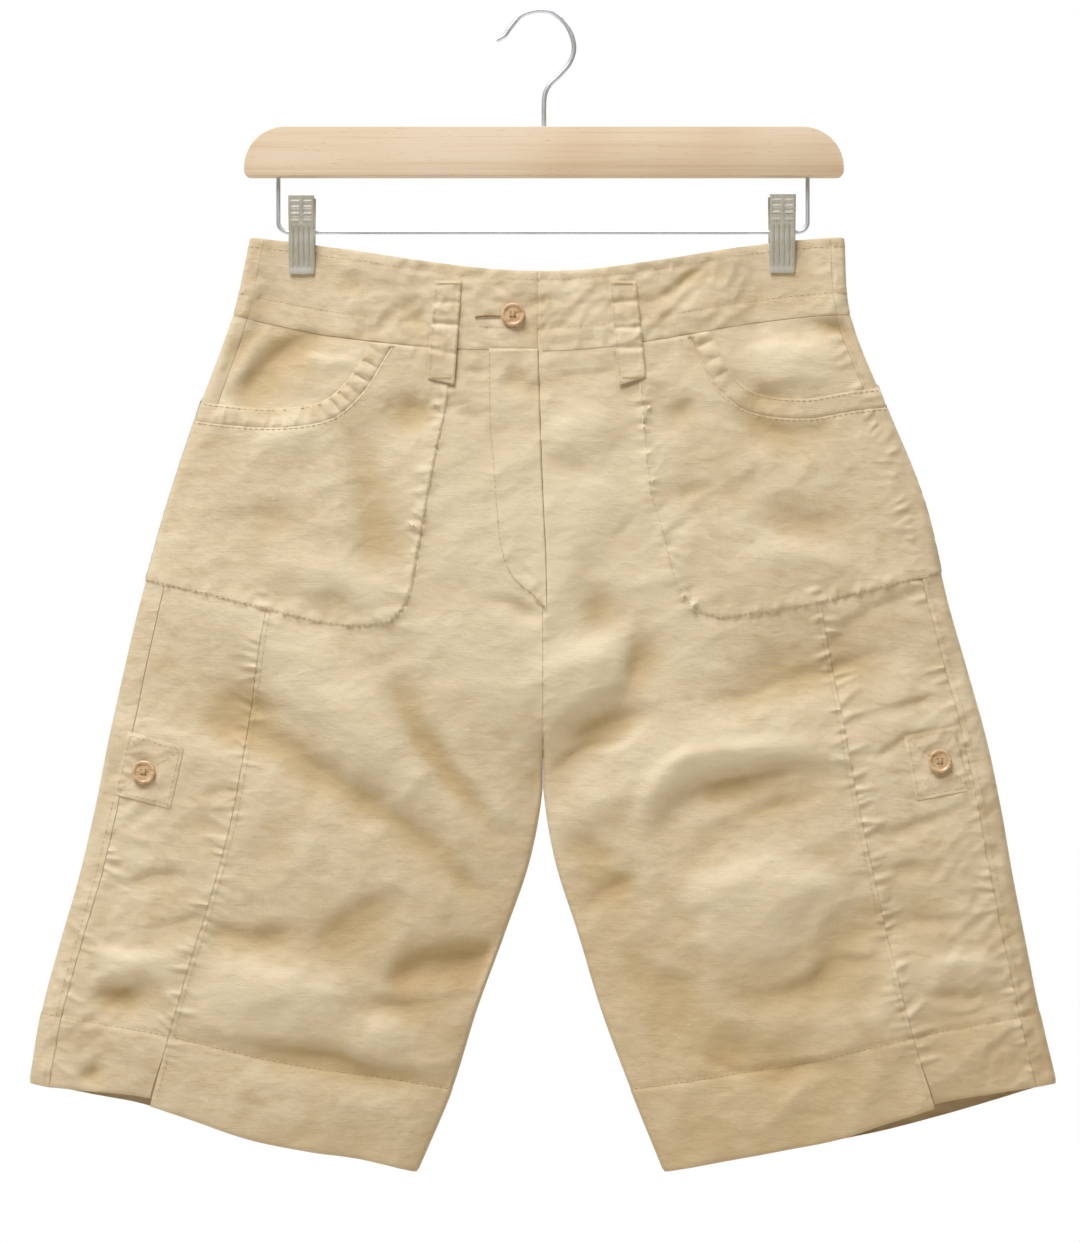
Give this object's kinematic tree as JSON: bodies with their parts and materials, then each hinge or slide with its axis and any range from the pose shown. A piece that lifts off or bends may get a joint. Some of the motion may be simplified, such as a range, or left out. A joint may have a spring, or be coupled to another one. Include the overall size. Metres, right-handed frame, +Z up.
{
  "type": "bermuda shorts on a clip hanger",
  "caption": "Linen bermuda shorts with round patch pockets, button fly, belt loops and side tabs, hung flat by the waistband from a wooden clip hanger",
  "frame": {"origin": "the inside top of the hook's crook, the point that rests on a clothes rail", "axes": "+Z up, the front of the shorts faces -Y, +X is the wearer's left"},
  "size_m": [0.652, 0.0377, 0.739],
  "materials": {
    "linen": "washed plain-weave linen in warm sand, matt, with slubs and soft creases",
    "button": "tan horn-look plastic with soft mottling and a low gloss",
    "wood": "pale beech with fine lengthwise grain and a thin satin lacquer",
    "wire": "bright nickel-plated steel wire",
    "clip_metal": "pressed nickel-plated steel sheet, slightly warm grey"
  },
  "bodies": {
    "root": {"front_right": "linen", "front_left": "linen", "side_right": "linen", "side_left": "linen", "back_right": "linen", "back_left": "linen", "waistband_front_right": "linen", "waistband_front_left": "linen", "waistband_back_right": "linen", "waistband_back_left": "linen", "pocket_right": "linen", "pocket_left": "linen", "pocket_band_right": "linen", "pocket_band_left": "linen", "fly": "linen", "fly_guard": "linen", "belt_loop_front_right": "linen", "belt_loop_front_left": "linen", "belt_loop_back_right": "linen", "belt_loop_back_centre": "linen", "belt_loop_back_left": "linen", "tab_right": "linen", "tab_left": "linen", "waist_button": "button", "tab_button_right": "button", "tab_button_left": "button", "hanger_bar": "wood", "hanger_hook": "wire", "clip_rail": "wire", "clip_right_front": "clip_metal", "clip_right_back": "clip_metal", "clip_right_spring": "wire", "clip_left_front": "clip_metal", "clip_left_back": "clip_metal", "clip_left_spring": "wire"}
  },
  "joints": []
}
